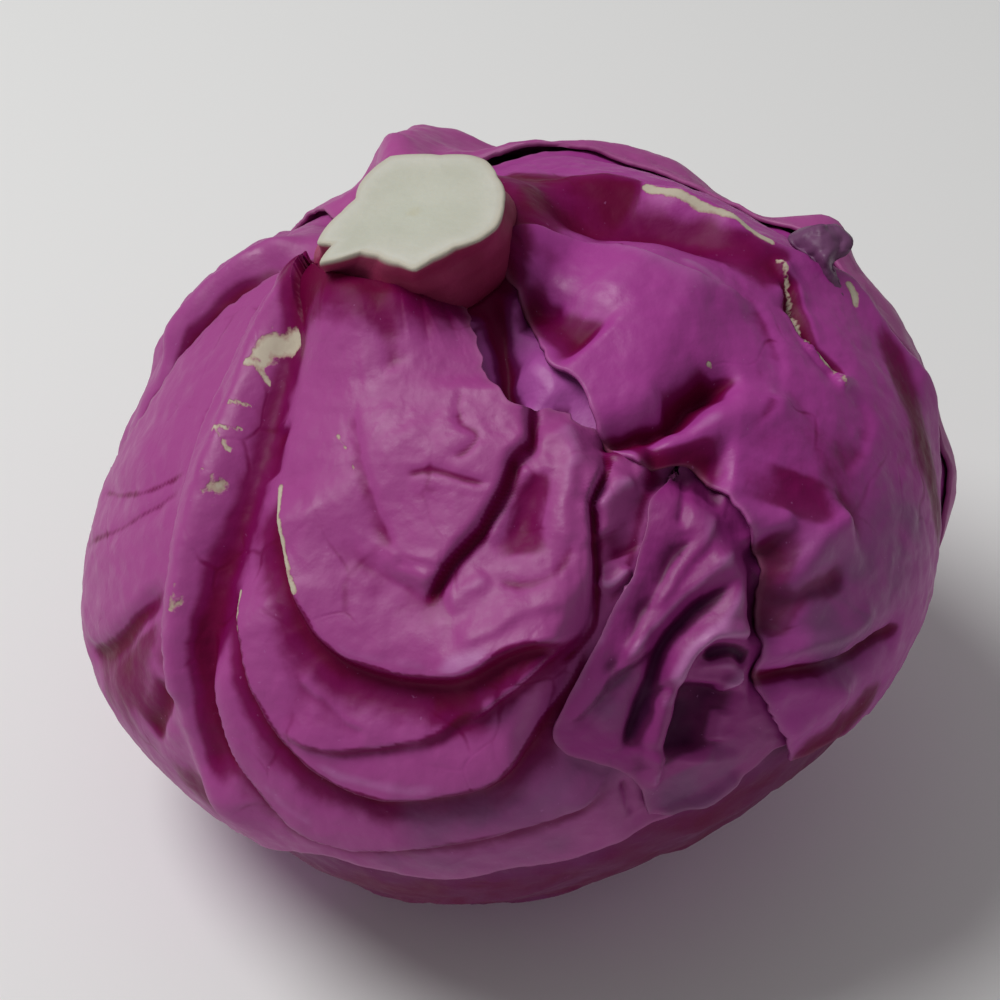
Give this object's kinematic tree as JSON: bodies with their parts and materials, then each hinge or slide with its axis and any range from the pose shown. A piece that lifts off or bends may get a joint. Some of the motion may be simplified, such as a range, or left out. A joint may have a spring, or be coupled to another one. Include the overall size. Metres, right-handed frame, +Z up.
{
  "type": "red cabbage head",
  "caption": "Red cabbage head with a cut stalk, wrapper leaves in overlapping layers and a packed heart, resting on a small flat spot of its crown.",
  "frame": {"origin": "centre of the small flat spot on the crown that the head rests on", "axes": "+Z up, away from the surface; the cut stalk points up and leans towards -X; -Y is the side the picture was taken from"},
  "size_m": [0.1598, 0.1625, 0.1341],
  "materials": {
    "stalk_cream": "matte, freshly cut",
    "leaf_purple": "waxy satin with a pale bloom",
    "leaf_crimson": "waxy satin",
    "leaf_violet": "waxy satin",
    "leaf_inner": "waxy satin",
    "heart_pale": "satin"
  },
  "bodies": {
    "root": {"stalk": "stalk_cream", "leaf_back": "leaf_crimson", "leaf_right": "leaf_purple", "leaf_torn": "leaf_crimson", "leaf_front": "leaf_purple", "leaf_back_left": "leaf_purple", "leaf_valley": "leaf_violet", "leaf_inner_left": "leaf_inner", "leaf_inner_right": "leaf_inner", "leaf_inner_back": "leaf_inner", "heart": "heart_pale"}
  },
  "joints": []
}
